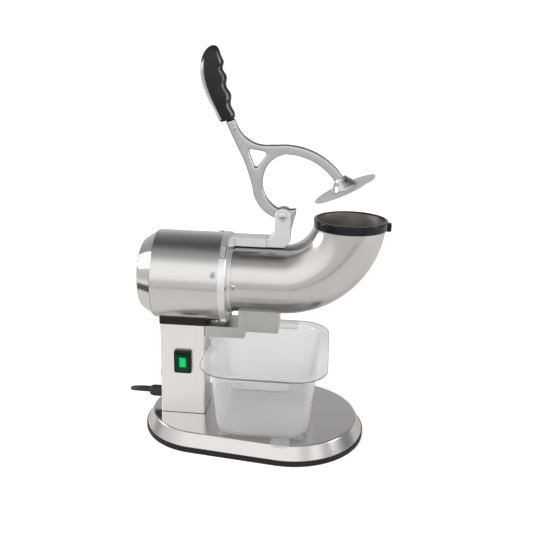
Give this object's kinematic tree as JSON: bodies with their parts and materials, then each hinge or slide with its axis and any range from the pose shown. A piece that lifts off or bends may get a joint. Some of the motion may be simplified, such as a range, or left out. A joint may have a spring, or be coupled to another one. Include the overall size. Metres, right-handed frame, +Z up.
{
  "type": "shaved ice machine",
  "caption": "Electric shaved ice machine: motor head on a column, upturned feed tube with a lever plunger, blade disc, chute and clear tub.",
  "frame": {"origin": "on the table, under the middle of the machine's length and width (power cord left out)", "axes": "+X runs from the motor towards the feed mouth, -Y is the operator's side with the switch, +Z is up"},
  "size_m": [0.3966, 0.4058, 0.5728],
  "materials": {
    "stainless_sheet": "brushed stainless sheet",
    "stainless_tube": "brushed stainless tube",
    "stainless_spun": "turned and polished stainless",
    "cast_aluminium": "smooth light-grey casting",
    "lever_aluminium": "satin cast aluminium",
    "polished_screw": "bright steel",
    "shaft_steel": "ground steel",
    "blade_steel": "ground blade steel",
    "disc_steel": "satin stainless",
    "lamination": "varnished laminations",
    "winding_copper": "varnished copper wire",
    "bronze": "sintered bronze",
    "black_rubber": "moulded rubber",
    "black_gloss": "glossy moulded plastic",
    "black_nylon": "satin nylon",
    "white_nylon": "natural nylon",
    "green_lens": "translucent, lit from behind",
    "clear_plastic": "clear polycarbonate",
    "aluminium_can": "drawn can",
    "wire_sleeve": "sleeved wires",
    "cord_pvc": "PVC sheath"
  },
  "bodies": {
    "machine": {"base_pan": "stainless_sheet", "base_edge": "black_rubber", "bottom_plate": "stainless_sheet", "base_standoffs": "shaft_steel", "base_screws": "polished_screw", "column": "stainless_sheet", "column_plate": "stainless_sheet", "column_bolts": "polished_screw", "saddle_gasket": "black_rubber", "support_arm": "stainless_sheet", "motor_shell": "stainless_tube", "motor_end_cap": "stainless_spun", "end_bell": "cast_aluminium", "stator_core": "lamination", "stator_windings": "winding_copper", "front_bearing": "polished_screw", "rear_bearing": "polished_screw", "shaft_seal": "black_rubber", "shell_screws": "polished_screw", "capacitor": "aluminium_can", "head_casting": "cast_aluminium", "head_screws": "polished_screw", "clevis": "cast_aluminium", "feed_tube": "stainless_tube", "tube_screws": "polished_screw", "mouth_collar": "black_gloss", "collar_screw": "polished_screw", "chute": "stainless_sheet", "pivot_pin": "polished_screw", "pivot_nut": "polished_screw", "pivot_washers": "white_nylon", "switch_bezel": "black_gloss", "switch_body": "black_nylon", "cable_gland": "black_nylon", "gland_nut": "black_nylon", "wiring": "wire_sleeve", "cord_lead": "cord_pvc", "cord_coil": "cord_pvc", "cord_tie": "black_nylon", "cord_tail": "cord_pvc", "plug": "black_nylon", "plug_pins": "polished_screw"},
    "rotor": {"motor_shaft": "shaft_steel", "rotor_core": "lamination", "cooling_fan": "black_nylon", "blade_disc": "stainless_sheet", "blades": "blade_steel", "blade_screws": "polished_screw", "disc_nut": "polished_screw", "snow_paddle": "stainless_sheet"},
    "lever": {"lever": "lever_aluminium", "grip": "black_gloss", "grip_screw": "polished_screw", "pivot_bush": "bronze", "plunger_hub": "lever_aluminium", "plunger_disc": "disc_steel", "plunger_screw": "polished_screw"},
    "rocker": {"switch_rocker": "green_lens"},
    "tub": {"tub": "clear_plastic"}
  },
  "joints": [
    {"name": "lever_pivot", "type": "hinge", "parent": "machine", "child": "lever", "pos_m": [0.026, 0, 0.3405], "axis": [0, 1, 0], "range_deg": [0, 108]},
    {"name": "blade_spin", "type": "hinge", "parent": "machine", "child": "rotor", "pos_m": [0, 0, 0.244], "axis": [1, 0, 0], "continuous": true},
    {"name": "rocker_tilt", "type": "hinge", "parent": "machine", "child": "rocker", "pos_m": [-0.1176, -0.0275, 0.1144], "axis": [1, 0, 0], "range_deg": [-16, 0]},
    {"name": "tub_slide", "type": "slide", "parent": "machine", "child": "tub", "axis": [0, -1, 0], "range_m": [0, 0.24]}
  ]
}
